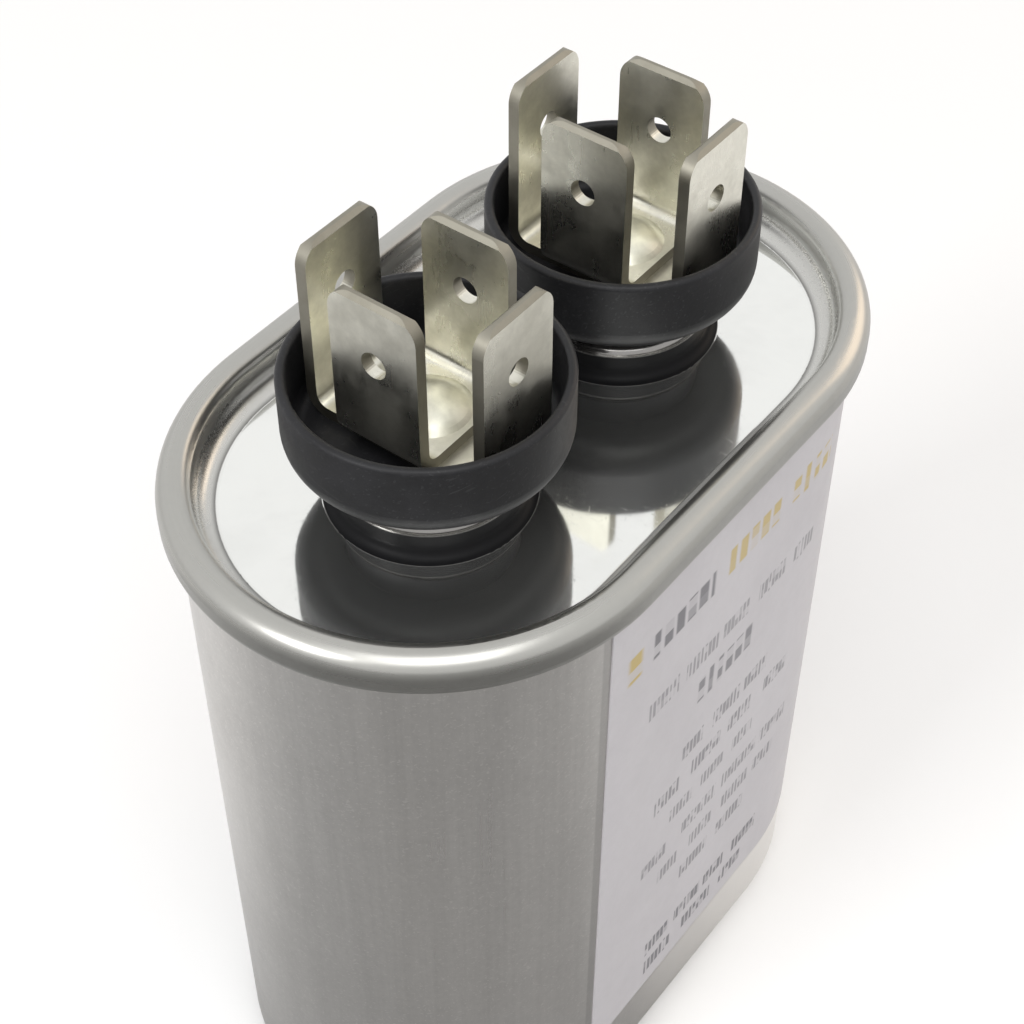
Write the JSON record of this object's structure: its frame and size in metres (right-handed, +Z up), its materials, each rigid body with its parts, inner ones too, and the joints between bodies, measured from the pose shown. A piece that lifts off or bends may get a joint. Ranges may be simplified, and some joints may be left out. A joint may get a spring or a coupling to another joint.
{
  "type": "motor run capacitor",
  "caption": "Oval drawn can with a rolled-on recessed lid and insulated terminals of push-on tabs, for running an electric motor.",
  "frame": {"origin": "centre of the can's flat bottom", "axes": "+Z up through the terminals, X along the long axis of the oval with the right terminal at +X, the label's flat faces -Y"},
  "size_m": [0.0536, 0.0334, 0.0738],
  "materials": {
    "can_metal": "satin drawn",
    "lid_metal": "mirror-bright tinplate",
    "compound": "dull",
    "label_film": "satin",
    "cup_plastic": "satin",
    "gasket_rubber": "dull",
    "tab_metal": "tin-plated brass",
    "rivet_metal": "tin-plated",
    "bushing_plastic": "satin",
    "lug_brass": "bright",
    "lead_copper": "bright",
    "film": "translucent film",
    "core_plastic": "plain",
    "zinc": "sprayed zinc, rough",
    "sleeve_plastic": "plain",
    "board": "plain"
  },
  "bodies": {
    "root": {"can": "can_metal", "lid": "lid_metal", "seam_compound": "compound", "label": "label_film", "film_winding": "film", "winding_core": "core_plastic", "top_end_spray": "zinc", "bottom_end_spray": "zinc", "insulating_sleeve": "sleeve_plastic", "bottom_pad": "board", "top_spacer": "board", "left_terminal_cup": "cup_plastic", "left_cup_gasket": "gasket_rubber", "left_lower_tabs": "tab_metal", "left_upper_tabs": "tab_metal", "left_rivet": "rivet_metal", "left_bushing": "bushing_plastic", "left_solder_lug": "lug_brass", "left_lead": "lead_copper", "right_terminal_cup": "cup_plastic", "right_cup_gasket": "gasket_rubber", "right_lower_tabs": "tab_metal", "right_upper_tabs": "tab_metal", "right_rivet": "rivet_metal", "right_bushing": "bushing_plastic", "right_solder_lug": "lug_brass", "right_lead": "lead_copper"}
  },
  "joints": []
}
